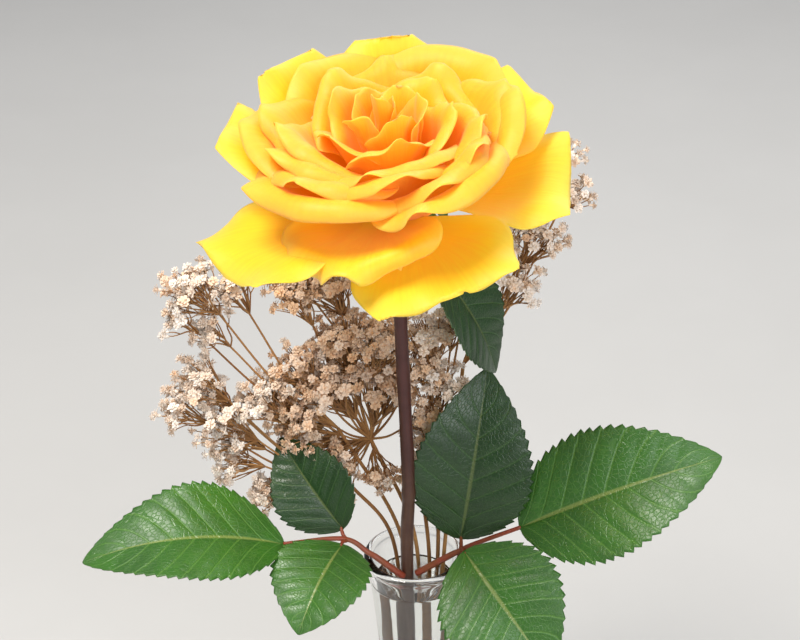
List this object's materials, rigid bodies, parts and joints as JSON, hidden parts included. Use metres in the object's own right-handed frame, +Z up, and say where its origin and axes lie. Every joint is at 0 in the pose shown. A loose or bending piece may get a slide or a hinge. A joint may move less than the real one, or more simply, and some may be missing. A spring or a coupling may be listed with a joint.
{
  "type": "rose in a bud vase",
  "caption": "Open double rose on a leafy stem with dried baby's breath, standing in a trumpet-shaped clear glass bud vase on a disc foot.",
  "frame": {"origin": "centre of the underside of the vase's foot, on the surface it stands on", "axes": "+Z up the vase, -Y towards the side the bloom leans to, +X to the right seen from that side"},
  "size_m": [0.2263, 0.1018, 0.3524],
  "materials": {
    "vase": "clear, polished, colourless glass",
    "water": "still clear water",
    "bark": "smooth dark red-brown young cane, semi-matt",
    "sepal": "matt mid green",
    "heart_petal": "velvety deep orange-yellow",
    "petal": "velvety golden yellow, paler at the edge",
    "guard_petal": "velvety lemon yellow, a little green at the base",
    "leaf": "glossy dark green with paler veins",
    "petiole": "satin red",
    "floret": "dry matt cream"
  },
  "bodies": {
    "root": {"calyx": "sepal", "petal_heart_1": "heart_petal", "petal_heart_2": "heart_petal", "petal_heart_3": "heart_petal", "petal_inner_1": "petal", "petal_inner_2": "petal", "petal_inner_3": "petal", "petal_inner_4": "petal", "petal_inner_5": "petal", "petal_throat_1": "petal", "petal_throat_2": "petal", "petal_throat_3": "petal", "petal_throat_4": "petal", "petal_throat_5": "petal", "petal_cup_1": "petal", "petal_cup_2": "petal", "petal_cup_3": "petal", "petal_cup_4": "petal", "petal_cup_5": "petal", "petal_bowl_1": "petal", "petal_bowl_2": "petal", "petal_bowl_3": "petal", "petal_bowl_4": "petal", "petal_bowl_5": "petal", "petal_collar_left": "petal", "petal_collar_front": "petal", "petal_collar_right": "petal", "petal_rim_front_left": "petal", "petal_rim_front_right": "petal", "petal_rim_right": "petal", "petal_rim_back_right": "petal", "petal_rim_back_left": "petal", "petal_rim_left": "petal", "petal_guard_front": "guard_petal", "petal_guard_right": "guard_petal", "petal_guard_back_right": "guard_petal", "petal_guard_back": "guard_petal", "petal_guard_back_left": "guard_petal", "petal_guard_left": "guard_petal", "petal_low_left": "guard_petal", "petal_low_front": "guard_petal", "vase": "vase", "water": "water", "rose_stem": "bark", "left_rachis": "petiole", "right_rachis": "petiole", "upper_petiole": "petiole", "left_leaflet_end": "leaf", "left_leaflet_front": "leaf", "left_leaflet_back": "leaf", "right_leaflet_end": "leaf", "right_leaflet_back": "leaf", "right_leaflet_front": "leaf", "upper_leaf": "leaf", "sprig_left_low": "floret", "sprig_left_high": "floret", "sprig_middle": "floret", "sprig_upper": "floret", "sprig_right": "floret", "sprig_right_high": "floret"}
  },
  "joints": []
}
